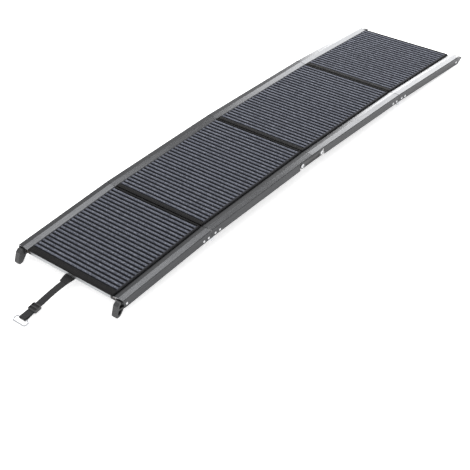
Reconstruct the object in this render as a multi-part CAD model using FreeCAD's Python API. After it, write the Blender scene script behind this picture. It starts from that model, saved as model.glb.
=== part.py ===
import FreeCAD, Part
import math
import os

# Folding dog ramp, unfolded and standing on its four feet. Millimetres, +Z up.
# +X runs from the car end to the ground end, +Y is the left side.
# The origin is under the middle of the ramp, on the floor.

# ---- driving sizes -------------------------------------------------------------------------
OUTER_LENGTH = 350.0        # sections 1 and 4
INNER_LENGTH = 455.0        # sections 2 and 3
DECK_WIDTH = 350.0          # between the inner edges of the rails
FRONT_BEND = 2.6            # convex bends at the three joints, degrees
MIDDLE_BEND = 2.1
REAR_BEND = 2.0

# side rail, measured outwards from its inner edge and up from the deck plane
RAIL_WIDTH = 40.0
RAIL_DEPTH = 22.0           # from the deck plane down to the bottom of the outer wall
RAIL_WALL = 2.0
RIDGE_OUT = 20.0
RIDGE_HEIGHT = 4.0
SHOULDER_OUT = RAIL_WIDTH - 1.5
SHOULDER_HEIGHT = 2.7
OUTER_HEIGHT = 1.6
WEB_OUT = 10.0
LEDGE_REACH = 10.0
LEDGE_THICK = 1.5
LIP_REACH = 4.0
LIP_THICK = 1.5
END_GAP = 0.3               # each rail end stops this far from its joint plane

# board, tread and edge strips
BOARD_THICK = 9.0
BOARD_SIDE_GAP = 0.5
BOARD_END_GAP = 1.0
LEDGE_TOP = -11.5
TREAD_TOP = 5.0
TREAD_GAP = 0.4
START_STRIP = 14.0          # binding at the car end of each tread
END_STRIP = 6.0             # binding at its ground end
FRONT_STRIP = 20.0          # the wider one at the free end of section 1
STRIP_RADIUS = 1.5
PROFILE_WALL = 1.2
PROFILE_REACH = 12.0

# fold hinges between an outer and an inner section
FOLD_DROP = 4.0             # pivot below the bottom of the rails
LEAF_THICK = 3.0
LEAF_LENGTH = 42.0
LEAF_LOW = 6.0              # leaf body above the pivot
LEAF_HIGH = 17.0
EAR_RADIUS = 9.0
LEAF_SLANT = (7.0, -5.6)    # on the ear, where the lower edge of the leaf starts
LEAF_GAP = 0.3
CRANK_START = 10.0
CRANK_END = 22.0
FOLD_PIN_RADIUS = 3.0
FOLD_HEAD_RADIUS = 3.7
FOLD_HEAD_THICK = 1.6
LEAF_RIVETS = (14.0, 33.0)  # distance of the rivets from the pivot, along the rail
LEAF_RIVET_HEIGHT = 11.5
NOTCH_LENGTH = 46.0         # the bottom lip is cut away this far from a fold hinge

# rivets
RIVET_RADIUS = 2.0
RIVET_HEAD_RADIUS = 4.0
RIVET_HEAD_THICK = 1.5
RIVET_TAIL_RADIUS = 3.4
RIVET_TAIL_THICK = 1.0
RIVET_FIT = 0.05

# bridge between the two inner sections
BRIDGE_HALF = 47.0          # from the seam to each pivot
BRIDGE_DROP = 11.0          # pivots below the deck plane
BRIDGE_END_RADIUS = 9.0
BRIDGE_WINDOW = 59.0        # the outer wall is cut away this far from the seam
WINDOW_TOP = -1.2
BLOCK_INNER = 15.4
BLOCK_OUTER = RAIL_WIDTH - 0.4
BODY_HALF = 34.4
BODY_LOW = -26.0
BODY_OUTER = RAIL_WIDTH - 7
RECESS_END = 12.0           # the recess in the outer face stops this far from each pivot
RECESS_HALF = 5.0
RECESS_DEEP = 1.2
BOLT_RADIUS = 5.0
BOLT_HEAD_RADIUS = 7.0
BOLT_HEAD_THICK = 1.8
BOLT_SOCKET_RADIUS = 2.9
BOLT_SOCKET_DEPTH = 1.0
BOLT_FIT = 0.05
LUG_THICK = 3.0
LUG_RADIUS = 9.5
LUG_LENGTH = 50.0
LUG_LOW = -1.5
LUG_HIGH = 9.5
LUG_RIVETS = (20.0, 42.0)
LUG_RIVET_HEIGHT = 4.0

# handle
HANDLE_DROP = 19.5          # middle of the handle below the deck plane
TUBE_WIDTH = 30.0
TUBE_THICK = 10.0
TUBE_WALL = 1.8
TUBE_HALF = 165.0
GROOVE_OFFSET = 4.0
GROOVE_WIDTH = 1.6
GROOVE_DEPTH = 0.6
NECK_WIDTH = 23.0
NECK_REACH = 140.0          # the neck runs in to this distance from the middle plane
NECK_FIT = 0.2
GRIP_HALF = 84.0
GRIP_WIDTH = 35.0
GRIP_THICK = 14.0
GRIP_FIT = 0.2
HANDLE_SCREW_Y = 150.0
HANDLE_SCREW_X = 6.0
HANDLE_SCREW_SOCKET = 1.5
HANDLE_SCREW_RADIUS = 1.6
HANDLE_SCREW_HEAD = 3.2
HANDLE_SCREW_HEAD_THICK = 1.4

# feet
FOOT_FIT = 0.3
FOOT_PLUG = 28.0
FOOT_OUTER = RAIL_WIDTH - 4.5
FOOT_RIVET_IN = 11.0
FOOT_RIVET_HEIGHT = -12.0
FOOT_RIVET_SEAT = RAIL_WIDTH - 10   # outward place of the clenched tail
FOOT_PLUG_TOP = -2.2
FOOT_WALL = 3.0
HOOK_TOE = (-25.5, -43.0)
HOOK_CONTACT = (-23.5, -41.6)   # the flat under the toe passes through here
HOOK_LEG = (17.0, RAIL_WIDTH - 5.5)     # outward places of the leg's two sides
HOOK_POCKET = 7.0
WEDGE_CONTACT = (1.0, -23.1)    # beyond the rail's end
WEDGE_CAP = (9.0, RAIL_WIDTH - 0.6)     # outward places of the cap's two sides
WEDGE_CAP_TOP = 2.4
WEDGE_CAP_LOW = -22.2
WEDGE_PAD_LOW = -23.9
WEDGE_PAD_TOP = -14.0

# strap tab under the car end
TAB_THICK = 4.0
TAB_TOP = LEDGE_TOP - PROFILE_WALL - 0.2
TAB_ROOT_WIDTH = 38.0
TAB_TIP_WIDTH = 30.0
TAB_IN = 22.0
TAB_OUT = 26.0
TAB_FALL = 1.6
PLATE_IN = 8.0              # the steel plate reaches from here to TAB_IN
PLATE_THICK = 1.6
STRAP_SCREW_X = 15.0
STRAP_SCREW_Y = 12.0
STRAP_SCREW_RADIUS = 1.8
STRAP_SCREW_HEAD = 3.4
STRAP_SCREW_HEAD_THICK = 1.5

# strap: x is measured from the tab's end, z from the floor
WEBBING_WIDTH = 25.0
WEBBING_THICK = 2.0
STRAP_Y = -3.0              # middle of the webbing
STRAP_REST = 4.9            # height of the middle of the carabiner's near bar
STRAP_FALL = [              # x, and the part of the height above the adjuster that is left
    (-0.2, 1.0),
    (-16.0, 0.935),
    (-36.0, 0.805),
    (-60.0, 0.575),
    (-85.0, 0.267),
]
RING_X = -152.5             # middle of the carabiner's near bar
RING_REACH = 43.8           # from there to the middle of the adjuster
ADJUSTER_TILT = 8.5         # the adjuster and the loop rise towards the ramp
ADJUSTER_LENGTH = 26.0
ADJUSTER_WIDTH = WEBBING_WIDTH + 6
ADJUSTER_THICK = 8.0
ADJUSTER_SLOT = (WEBBING_WIDTH + 1.4, 5.2)
ADJUSTER_FRAME = 4.0        # end bars of the adjuster, along the strap
ADJUSTER_CORNER = 5.0
LOOP_TAIL = 4.8             # thickness of the two layers in the adjuster
LOOP_SPREAD = 3.0           # the layers part this far beyond the adjuster
LOOP_SPLIT = 8.0            # their inner faces part this far beyond it
LOOP_CLEAR = 0.35

# carabiner: a ring of wire with a gate in its far bar
RING_MIDDLE_Y = -4.5
RING_DEEP = 18.0            # between the middles of the near and the far bar
RING_HALF = 26.0
RING_CORNER = 7.5
WIRE_RADIUS = 2.0
GATE_HINGE = 15.5           # along the far bar from the ring's middle
GATE_TIP = -14.2
NOSE_END = -14.5
GATE_ROOT = 2.4             # the far bar's fork and the gate's rod stop short of the pin
GATE_SHOULDER = 3.4
GATE_TONGUE = 1.5
GATE_SLOT = 1.7
GATE_PIN_RADIUS = 0.8
GATE_PIN_SHORT = 0.1        # each pin end stops this far inside the wire


# ---- small helpers -------------------------------------------------------------------------
def vector(x, y, z):
    return FreeCAD.Vector(x, y, z)


def rounded_wire(corners, to_point):
    """Closed wire through corners (a, b) or (a, b, radius), each radius a tangent arc."""
    edges = []
    starts = []
    ends = []
    mids = []
    count = len(corners)
    for i in range(count):
        a, b = corners[i][0], corners[i][1]
        radius = corners[i][2] if len(corners[i]) > 2 else 0.0
        before = corners[i - 1]
        after = corners[(i + 1) % count]
        u = (before[0] - a, before[1] - b)
        w = (after[0] - a, after[1] - b)
        lu = math.hypot(*u)
        lw = math.hypot(*w)
        u = (u[0] / lu, u[1] / lu)
        w = (w[0] / lw, w[1] / lw)
        if radius <= 0:
            starts.append((a, b))
            ends.append((a, b))
            mids.append(None)
            continue
        half = math.acos(max(-1.0, min(1.0, u[0] * w[0] + u[1] * w[1]))) / 2
        reach = radius / math.tan(half)
        middle = (u[0] + w[0], u[1] + w[1])
        size = math.hypot(*middle)
        centre_distance = radius / math.sin(half)
        nearest = centre_distance - radius
        starts.append((a + u[0] * reach, b + u[1] * reach))
        ends.append((a + w[0] * reach, b + w[1] * reach))
        mids.append((a + middle[0] / size * nearest, b + middle[1] / size * nearest))
    for i in range(count):
        if mids[i]:
            arc = Part.Arc(to_point(*starts[i]), to_point(*mids[i]), to_point(*ends[i]))
            edges.append(arc.toShape())
        nxt = (i + 1) % count
        edges.append(Part.LineSegment(to_point(*ends[i]), to_point(*starts[nxt])).toShape())
    return Part.Wire(edges)


def along_x(corners, x_low, x_high):
    """Outline in (y, z), extruded from x_low to x_high."""
    wire = rounded_wire(corners, lambda a, b: vector(x_low, a, b))
    return Part.Face(wire).extrude(vector(x_high - x_low, 0, 0))


def along_y(corners, y_low, y_high):
    """Outline in (x, z), extruded from y_low to y_high."""
    wire = rounded_wire(corners, lambda a, b: vector(a, y_low, b))
    return Part.Face(wire).extrude(vector(0, y_high - y_low, 0))


def along_z(corners, z_low, z_high):
    """Outline in (x, y), extruded from z_low to z_high."""
    wire = rounded_wire(corners, lambda a, b: vector(a, b, z_low))
    return Part.Face(wire).extrude(vector(0, 0, z_high - z_low))


def box(x_range, y_range, z_range):
    size = [high - low for low, high in (x_range, y_range, z_range)]
    return Part.makeBox(*size, vector(x_range[0], y_range[0], z_range[0]))


def pin_y(x, z, y_low, y_high, radius):
    return Part.makeCylinder(radius, y_high - y_low, vector(x, y_low, z), vector(0, 1, 0))


def pin_z(x, y, z_low, z_high, radius):
    return Part.makeCylinder(radius, z_high - z_low, vector(x, y, z_low), vector(0, 0, 1))


def domed_head(x, z, y_from, thick, radius):
    """Low domed rivet head that stands out in +Y from the plane y_from."""
    rim = vector(radius, thick * 0.35, 0)
    shoulder = vector(radius * 0.72, thick * 0.84, 0)
    crown = vector(radius * 0.3, thick, 0)
    tip = vector(0, thick, 0)
    base = vector(0, 0, 0)
    foot = vector(radius, 0, 0)
    curves = [
        Part.LineSegment(base, foot),
        Part.LineSegment(foot, rim),
        Part.Arc(rim, shoulder, crown),
        Part.LineSegment(crown, tip),
        Part.LineSegment(tip, base),
    ]
    outline = Part.Wire([curve.toShape() for curve in curves])
    head = Part.Face(outline).revolve(base, vector(0, 1, 0), 360)
    head.translate(vector(x, y_from, z))
    return head


def flat_oval(width, thick, x, z, y_low, y_high):
    """Bar along Y with a flat oval section, width along X and round edges."""
    w, t = width / 2, thick / 2
    r = t * 0.999
    corners = [(x - w, z - t, r), (x + w, z - t, r), (x + w, z + t, r), (x - w, z + t, r)]
    return along_y(corners, y_low, y_high)


def mirrored(shape):
    return shape.mirror(vector(0, 0, 0), vector(0, 1, 0))


def fused(shapes):
    whole = shapes[0].fuse(shapes[1:]) if len(shapes) > 1 else shapes[0]
    return whole.removeSplitter()


# ---- derived places ------------------------------------------------------------------------
DECK_HALF = DECK_WIDTH / 2
WALL_IN = RAIL_WIDTH - RAIL_WALL            # inner face of the outer wall
WEB_FACE = WEB_OUT + RAIL_WALL              # outer face of the web
BOARD_TOP = LEDGE_TOP + BOARD_THICK
FOLD_Z = -RAIL_DEPTH - FOLD_DROP
LEAF_INNER = WALL_IN - LEAF_THICK
CRANK_OUTER = LEAF_INNER - LEAF_GAP
CRANK_INNER = CRANK_OUTER - LEAF_THICK
ADJUSTER_MIDDLE = RING_X + RING_REACH        # before it is tilted
ADJUSTER_LOW = ADJUSTER_MIDDLE - ADJUSTER_LENGTH / 2
ADJUSTER_HIGH = ADJUSTER_MIDDLE + ADJUSTER_LENGTH / 2
RING_LIFT = 0.1                             # the far bar clears the floor by this much
RING_TILT = math.degrees(math.asin((STRAP_REST - WIRE_RADIUS - RING_LIFT) / RING_DEEP))


def out(v):
    """Distance from the middle plane of a place measured outwards from the rail's inner edge."""
    return DECK_HALF + v


# ---- rail ----------------------------------------------------------------------------------
def rail_profile():
    slope = RIDGE_HEIGHT / RIDGE_OUT
    web_top = slope * WEB_OUT - RAIL_WALL
    face_top = slope * WEB_FACE - RAIL_WALL
    points = [
        (0, 0, 0.6),
        (RIDGE_OUT, RIDGE_HEIGHT, 3.0),
        (SHOULDER_OUT, SHOULDER_HEIGHT, 1.2),
        (RAIL_WIDTH, OUTER_HEIGHT, 0.8),
        (RAIL_WIDTH, -RAIL_DEPTH),
        (RAIL_WIDTH - LIP_REACH, -RAIL_DEPTH),
        (RAIL_WIDTH - LIP_REACH, -RAIL_DEPTH + LIP_THICK),
        (WALL_IN, -RAIL_DEPTH + LIP_THICK),
        (WALL_IN, SHOULDER_HEIGHT - RAIL_WALL, 0.8),
        (RIDGE_OUT, RIDGE_HEIGHT - RAIL_WALL, 2.0),
        (WEB_FACE, face_top),
        (WEB_FACE, LEDGE_TOP - LEDGE_THICK),
        (-LEDGE_REACH, LEDGE_TOP - LEDGE_THICK),
        (-LEDGE_REACH, LEDGE_TOP),
        (WEB_OUT, LEDGE_TOP),
        (WEB_OUT, web_top),
        (0, -RAIL_WALL),
    ]
    return [(out(p[0]),) + tuple(p[1:]) for p in points]


def rail(length, fold_ends, window_ends, rivet_places, lug_places):
    """Left rail of a section, from x = 0 to length in the section's own frame."""
    solid = along_x(rail_profile(), END_GAP, length - END_GAP)
    lip_inside = (out(RAIL_WIDTH - LIP_REACH - 1), out(WALL_IN))
    lip_z = (-RAIL_DEPTH - 1, -RAIL_DEPTH + LIP_THICK + 0.1)
    for x in fold_ends:
        solid = solid.cut(box((x - NOTCH_LENGTH, x + NOTCH_LENGTH), lip_inside, lip_z))
    for x in window_ends:
        corners = [
            (x - BRIDGE_WINDOW, -RAIL_DEPTH - 1),
            (x + BRIDGE_WINDOW, -RAIL_DEPTH - 1),
            (x + BRIDGE_WINDOW, WINDOW_TOP, 3.0),
            (x - BRIDGE_WINDOW, WINDOW_TOP, 3.0),
        ]
        solid = solid.cut(along_y(corners, out(RAIL_WIDTH - LIP_REACH - 1), out(RAIL_WIDTH + 1)))
    for x, z in rivet_places:
        hole = pin_y(x, z, out(WALL_IN - 1), out(RAIL_WIDTH + 1), RIVET_RADIUS + RIVET_FIT)
        solid = solid.cut(hole)
    for x, z in lug_places:
        solid = solid.cut(pin_y(x, z, out(WEB_OUT - 1), out(WEB_FACE + 1), RIVET_RADIUS + RIVET_FIT))
    return solid


# ---- board, tread, strips, profiles --------------------------------------------------------
def board(x_low, x_high, holes):
    half = out(WEB_OUT) - BOARD_SIDE_GAP
    solid = box((x_low, x_high), (-half, half), (LEDGE_TOP, BOARD_TOP))
    for x, y, radius in holes:
        solid = solid.cut(pin_z(x, y, LEDGE_TOP - 1, LEDGE_TOP + BOARD_THICK * 0.7, radius))
    return solid


def tread(x_low, x_high):
    half = DECK_HALF - TREAD_GAP
    return box((x_low, x_high), (-half, half), (BOARD_TOP, TREAD_TOP))


def edge_strip(x_low, x_high, z_low):
    half = DECK_HALF - TREAD_GAP
    corners = [
        (x_low, z_low),
        (x_high, z_low),
        (x_high, TREAD_TOP, STRIP_RADIUS),
        (x_low, TREAD_TOP, STRIP_RADIUS),
    ]
    return along_y(corners, -half, half)


def edge_profile(x_face, inward, strip):
    """Channel over the free end of a board: inward is +1 or -1 along X, strip lies on it."""
    x_web = x_face + inward * PROFILE_WALL
    x_tip = x_face + inward * PROFILE_REACH
    x_top = x_face + inward * min(PROFILE_REACH, strip)
    z_high = BOARD_TOP + PROFILE_WALL
    z_low = LEDGE_TOP - PROFILE_WALL
    corners = [
        (x_face, z_low),
        (x_tip, z_low),
        (x_tip, LEDGE_TOP),
        (x_web, LEDGE_TOP),
        (x_web, BOARD_TOP),
        (x_top, BOARD_TOP),
        (x_top, z_high),
        (x_face, z_high),
    ]
    half = DECK_HALF - LEDGE_REACH - TREAD_GAP
    return along_y(corners, -half, half)


# ---- fold hinge ----------------------------------------------------------------------------
def leaf_body(pivot_x, towards, first, last, y_low, y_high):
    """Plate from the ear into its rail; towards is the X direction of the leaf's own section."""
    def at(d, h):
        return (pivot_x + towards * d, FOLD_Z + h)

    ear = pin_y(pivot_x, FOLD_Z, y_low, y_high, EAR_RADIUS)
    corners = [at(first, LEAF_HIGH), at(last, LEAF_HIGH), at(last, LEAF_LOW), at(last * 0.5, LEAF_LOW)]
    corners += [at(*LEAF_SLANT), at(first, 0)]
    return fused([ear, along_y(corners, y_low, y_high)])


def flat_leaf(pivot_x, towards):
    plate = leaf_body(pivot_x, towards, 1.0, LEAF_LENGTH, out(LEAF_INNER), out(WALL_IN))
    plate = plate.cut(pin_y(pivot_x, FOLD_Z, out(0), out(RAIL_WIDTH), FOLD_PIN_RADIUS))
    for d in LEAF_RIVETS:
        x = pivot_x + towards * d
        z = FOLD_Z + LEAF_RIVET_HEIGHT
        plate = plate.cut(pin_y(x, z, out(0), out(RAIL_WIDTH), RIVET_RADIUS + RIVET_FIT))
    return plate


def cranked_leaf(pivot_x, towards):
    ear_plate = leaf_body(pivot_x, towards, 1.0, CRANK_END, out(CRANK_INNER), out(CRANK_OUTER))
    near = pivot_x + towards * CRANK_START
    far = pivot_x + towards * LEAF_LENGTH
    wall_plate = box(
        (min(near, far), max(near, far)),
        (out(CRANK_OUTER), out(WALL_IN)),
        (FOLD_Z + LEAF_LOW, FOLD_Z + LEAF_HIGH),
    )
    plate = fused([ear_plate, wall_plate])
    bore = FOLD_PIN_RADIUS + RIVET_FIT
    plate = plate.cut(pin_y(pivot_x, FOLD_Z, out(0), out(RAIL_WIDTH), bore))
    for d in LEAF_RIVETS:
        x = pivot_x + towards * d
        z = FOLD_Z + LEAF_RIVET_HEIGHT
        plate = plate.cut(pin_y(x, z, out(0), out(RAIL_WIDTH), RIVET_RADIUS + RIVET_FIT))
    return plate


def fold_pivot(pivot_x):
    shaft = pin_y(pivot_x, FOLD_Z, out(CRANK_INNER), out(WALL_IN), FOLD_PIN_RADIUS)
    tail = pin_y(
        pivot_x, FOLD_Z, out(CRANK_INNER - LEAF_GAP - RIVET_TAIL_THICK), out(CRANK_INNER - LEAF_GAP),
        FOLD_HEAD_RADIUS + 1,
    )
    neck = pin_y(pivot_x, FOLD_Z, out(CRANK_INNER - LEAF_GAP), out(CRANK_INNER), FOLD_PIN_RADIUS)
    head = domed_head(pivot_x, FOLD_Z, out(WALL_IN), FOLD_HEAD_THICK, FOLD_HEAD_RADIUS)
    return fused([tail, neck, shaft, head])


# ---- rivets --------------------------------------------------------------------------------
def wall_rivet(x, z, v_tail):
    """Rivet through the outer wall, clenched at v_tail inside the rail."""
    tail = pin_y(x, z, out(v_tail - RIVET_TAIL_THICK), out(v_tail), RIVET_TAIL_RADIUS)
    shaft = pin_y(x, z, out(v_tail), out(RAIL_WIDTH), RIVET_RADIUS)
    head = domed_head(x, z, out(RAIL_WIDTH), RIVET_HEAD_THICK, RIVET_HEAD_RADIUS)
    return fused([tail, shaft, head])


def lug_rivet(x, z):
    shaft = pin_y(x, z, out(WEB_OUT), out(WEB_FACE + LUG_THICK), RIVET_RADIUS)
    head = domed_head(x, z, out(WEB_FACE + LUG_THICK), RIVET_TAIL_THICK, RIVET_HEAD_RADIUS)
    return fused([shaft, head])


def leaf_rivet_places(pivot_x, towards):
    return [(pivot_x + towards * d, FOLD_Z + LEAF_RIVET_HEIGHT) for d in LEAF_RIVETS]


def lug_rivet_places(pivot_x, towards):
    return [(pivot_x + towards * d, -BRIDGE_DROP + LUG_RIVET_HEIGHT) for d in LUG_RIVETS]


# ---- bridge --------------------------------------------------------------------------------
def lug(pivot_x, towards):
    """Plate on the web of an inner rail, with the bore that a bridge bolt turns in."""
    def at(d, h):
        return (pivot_x + towards * d, -BRIDGE_DROP + h)

    y_range = (out(WEB_FACE), out(WEB_FACE + LUG_THICK))
    ring = pin_y(pivot_x, -BRIDGE_DROP, *y_range, LUG_RADIUS)
    corners = [at(0, LUG_HIGH), at(LUG_LENGTH, LUG_HIGH), at(LUG_LENGTH, LUG_LOW), at(0, LUG_LOW)]
    plate = fused([ring, along_y(corners, *y_range)])
    plate = plate.cut(pin_y(pivot_x, -BRIDGE_DROP, out(0), out(RAIL_WIDTH), BOLT_RADIUS + BOLT_FIT))
    for x, z in lug_rivet_places(pivot_x, towards):
        plate = plate.cut(pin_y(x, z, out(0), out(RAIL_WIDTH), RIVET_RADIUS + RIVET_FIT))
    return plate


def bridge_block():
    """Left block in the bridge's own frame: x = 0 at the seam, z = 0 at the deck plane."""
    r = BRIDGE_END_RADIUS
    half = BRIDGE_HALF + r
    corners = [
        (-half, -BRIDGE_DROP - r, r * 0.999),
        (half, -BRIDGE_DROP - r, r * 0.999),
        (half, -BRIDGE_DROP + r, r * 0.999),
        (-half, -BRIDGE_DROP + r, r * 0.999),
    ]
    arm = along_y(corners, out(BLOCK_INNER), out(BLOCK_OUTER))
    body_corners = [
        (-BODY_HALF, BODY_LOW, 5.0),
        (BODY_HALF, BODY_LOW, 5.0),
        (BODY_HALF, -BRIDGE_DROP),
        (-BODY_HALF, -BRIDGE_DROP),
    ]
    body = along_y(body_corners, out(BLOCK_INNER), out(BODY_OUTER))
    neck_thick = TUBE_THICK - 2 * TUBE_WALL - 2 * NECK_FIT
    neck = flat_oval(NECK_WIDTH, neck_thick, 0, -HANDLE_DROP, NECK_REACH, out(BLOCK_INNER))
    solid = fused([arm, body, neck])
    # long shallow recess in the outer face
    x, z = BRIDGE_HALF - RECESS_END, RECESS_HALF
    recess = [
        (-x, -BRIDGE_DROP - z, z * 0.98),
        (x, -BRIDGE_DROP - z, z * 0.98),
        (x, -BRIDGE_DROP + z, z * 0.98),
        (-x, -BRIDGE_DROP + z, z * 0.98),
    ]
    solid = solid.cut(along_y(recess, out(BLOCK_OUTER - RECESS_DEEP), out(BLOCK_OUTER + 1)))
    for x in (-BRIDGE_HALF, BRIDGE_HALF):
        solid = solid.cut(pin_y(x, -BRIDGE_DROP, out(0), out(RAIL_WIDTH), BOLT_RADIUS))
    for x in (-HANDLE_SCREW_X, HANDLE_SCREW_X):
        hole = pin_z(x, HANDLE_SCREW_Y, -HANDLE_DROP - TUBE_THICK, -HANDLE_DROP, HANDLE_SCREW_RADIUS)
        solid = solid.cut(hole)
    return solid


def bridge_bolt(x):
    shaft = pin_y(x, -BRIDGE_DROP, out(WEB_FACE + 0.3), out(BLOCK_OUTER), BOLT_RADIUS)
    head = domed_head(x, -BRIDGE_DROP, out(BLOCK_OUTER), BOLT_HEAD_THICK, BOLT_HEAD_RADIUS)
    socket_top = BLOCK_OUTER + BOLT_HEAD_THICK
    socket = pin_y(
        x, -BRIDGE_DROP, out(socket_top - BOLT_SOCKET_DEPTH), out(socket_top + 1), BOLT_SOCKET_RADIUS
    )
    return fused([shaft, head]).cut(socket)


def handle_tube():
    solid = flat_oval(TUBE_WIDTH, TUBE_THICK, 0, -HANDLE_DROP, -TUBE_HALF, TUBE_HALF)
    inner_width = TUBE_WIDTH - 2 * TUBE_WALL
    inner_thick = TUBE_THICK - 2 * TUBE_WALL
    solid = solid.cut(
        flat_oval(inner_width, inner_thick, 0, -HANDLE_DROP, -TUBE_HALF - 1, TUBE_HALF + 1)
    )
    for x in (-GROOVE_OFFSET, GROOVE_OFFSET):
        x_range = (x - GROOVE_WIDTH / 2, x + GROOVE_WIDTH / 2)
        for sign in (-1, 1):
            face = -HANDLE_DROP + sign * TUBE_THICK / 2
            z_range = (face - GROOVE_DEPTH, face + GROOVE_DEPTH)
            solid = solid.cut(box(x_range, (-TUBE_HALF - 1, TUBE_HALF + 1), z_range))
    for y in (-HANDLE_SCREW_Y, HANDLE_SCREW_Y):
        for x in (-HANDLE_SCREW_X, HANDLE_SCREW_X):
            z_low = -HANDLE_DROP - TUBE_THICK
            solid = solid.cut(pin_z(x, y, z_low, -HANDLE_DROP, HANDLE_SCREW_RADIUS + RIVET_FIT))
    return solid


def handle_grip():
    solid = flat_oval(GRIP_WIDTH, GRIP_THICK, 0, -HANDLE_DROP, -GRIP_HALF, GRIP_HALF)
    width = TUBE_WIDTH + 2 * GRIP_FIT
    thick = TUBE_THICK + 2 * GRIP_FIT
    return solid.cut(flat_oval(width, thick, 0, -HANDLE_DROP, -GRIP_HALF - 1, GRIP_HALF + 1))


def handle_screw(x, y):
    face = -HANDLE_DROP - TUBE_THICK / 2
    shaft = pin_z(x, y, face, -HANDLE_DROP, HANDLE_SCREW_RADIUS)
    head = pin_z(x, y, face - HANDLE_SCREW_HEAD_THICK, face, HANDLE_SCREW_HEAD)
    tip = face - HANDLE_SCREW_HEAD_THICK
    socket = pin_z(x, y, tip - 1, tip + HANDLE_SCREW_HEAD_THICK / 2, HANDLE_SCREW_SOCKET)
    return fused([shaft, head]).cut(socket)


# ---- feet ----------------------------------------------------------------------------------
def foot_plug(x_low, x_high, hollow_low, hollow_high):
    """Moulded plug that fills the rail's channel, hollow from below between two places."""
    y_low, y_high = out(WEB_FACE + FOOT_FIT), out(WALL_IN - FOOT_FIT)
    z_low = -RAIL_DEPTH + LIP_THICK + FOOT_FIT
    plug = box((x_low, x_high), (y_low, y_high), (z_low, FOOT_PLUG_TOP))
    y_inside = (y_low + FOOT_WALL, y_high - FOOT_WALL)
    z_inside = (z_low - 1, FOOT_PLUG_TOP - FOOT_WALL)
    return plug.cut(box((hollow_low, hollow_high), y_inside, z_inside))


def foot_rivet_bore(x):
    """Bore for a foot's rivet, with a seat for its clenched tail."""
    z = FOOT_RIVET_HEIGHT
    shaft = pin_y(x, z, out(WEB_FACE), out(RAIL_WIDTH), RIVET_RADIUS + RIVET_FIT)
    seat = pin_y(x, z, out(WEB_FACE), out(FOOT_RIVET_SEAT), RIVET_TAIL_RADIUS + RIVET_FIT)
    return fused([shaft, seat])


def hook_foot():
    """Left hook foot at the free end of section 1, in the section's own frame."""
    hollow_low = FOOT_RIVET_IN + RIVET_TAIL_RADIUS + 1
    plug = foot_plug(-2.0, FOOT_PLUG, hollow_low, FOOT_PLUG - FOOT_WALL)
    leg_corners = [
        (6.0, FOOT_PLUG_TOP),
        (-9.0, FOOT_PLUG_TOP, 5.0),
        (-17.5, -8.0, 5.0),
        (-31.5, -36.5, 3.0),
        (HOOK_TOE[0], HOOK_TOE[1], 4.0),
        (-15.0, -40.5, 6.0),
        (5.0, -22.8, 8.0),
        (22.0, -20.2),
        (22.0, -12.0),
    ]
    leg = along_y(leg_corners, out(HOOK_LEG[0]), out(HOOK_LEG[1]))
    solid = fused([plug, leg])
    # two stepped pockets in the outer side of the leg
    upper = [(0.0, -8.0, 1.5), (-10.0, -9.0, 3.0), (-14.5, -19.0, 1.5), (0.0, -19.0, 1.5)]
    lower = [(-3.5, -23.0, 1.0), (-17.5, -23.0, 1.5), (-23.0, -34.5, 2.0), (-15.5, -35.5, 3.0)]
    for pocket in (upper, lower):
        inner = HOOK_LEG[1] - HOOK_POCKET
        solid = solid.cut(along_y(pocket, out(inner), out(RAIL_WIDTH)))
    return solid.cut(foot_rivet_bore(FOOT_RIVET_IN))


def wedge_foot(length):
    """Left wedge foot at the free end of section 4, in the section's own frame."""
    rivet_x = length - FOOT_RIVET_IN
    hollow_high = rivet_x - RIVET_TAIL_RADIUS - 1
    plug = foot_plug(length - FOOT_PLUG, length + 3, length - FOOT_PLUG + FOOT_WALL, hollow_high)
    cap_corners = [
        (length + FOOT_FIT, WEDGE_CAP_TOP, 0.8),
        (length + 6, WEDGE_CAP_TOP - 0.4, 6.0),
        (length + 28.5, -5.2, 2.4),
        (length + 26.0, -9.3, 1.6),
        (length + 3.2, WEDGE_CAP_LOW),
        (length + FOOT_FIT, WEDGE_CAP_LOW),
    ]
    cap = along_y(cap_corners, out(WEDGE_CAP[0]), out(WEDGE_CAP[1]))
    pad_corners = [
        (length + 14.0, -16.2),
        (length + 2.4, WEDGE_PAD_LOW, 1.5),
        (length - 15.0, WEDGE_PAD_LOW, 2.0),
        (length - 21.0, -19.6),
        (length - 21.0, WEDGE_PAD_TOP),
        (length + 14.0, WEDGE_PAD_TOP),
    ]
    pad = along_y(pad_corners, out(WEB_FACE + FOOT_FIT), out(FOOT_OUTER))
    return fused([plug, cap, pad]).cut(foot_rivet_bore(rivet_x))


# ---- strap at the car end ------------------------------------------------------------------
def strap_tab():
    side = [
        (TAB_IN, TAB_TOP),
        (0, TAB_TOP, 12.0),
        (-TAB_OUT, TAB_TOP - TAB_FALL),
        (-TAB_OUT, TAB_TOP - TAB_FALL - TAB_THICK),
        (0, TAB_TOP - TAB_THICK, 12.0),
        (TAB_IN, TAB_TOP - TAB_THICK),
    ]
    root, tip = TAB_ROOT_WIDTH / 2, TAB_TIP_WIDTH / 2
    plan = [(TAB_IN, -root), (-3, -root, 3.0), (-TAB_OUT, -tip, 1.5)]
    plan += [(-TAB_OUT, tip, 1.5), (-3, root, 3.0), (TAB_IN, root)]
    solid = along_y(side, -root, root).common(along_z(plan, TAB_TOP - 20, TAB_TOP + 5))
    for y in (-STRAP_SCREW_Y, STRAP_SCREW_Y):
        hole = pin_z(STRAP_SCREW_X, y, TAB_TOP - 20, TAB_TOP + 5, STRAP_SCREW_RADIUS + RIVET_FIT)
        solid = solid.cut(hole)
    return solid


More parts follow.
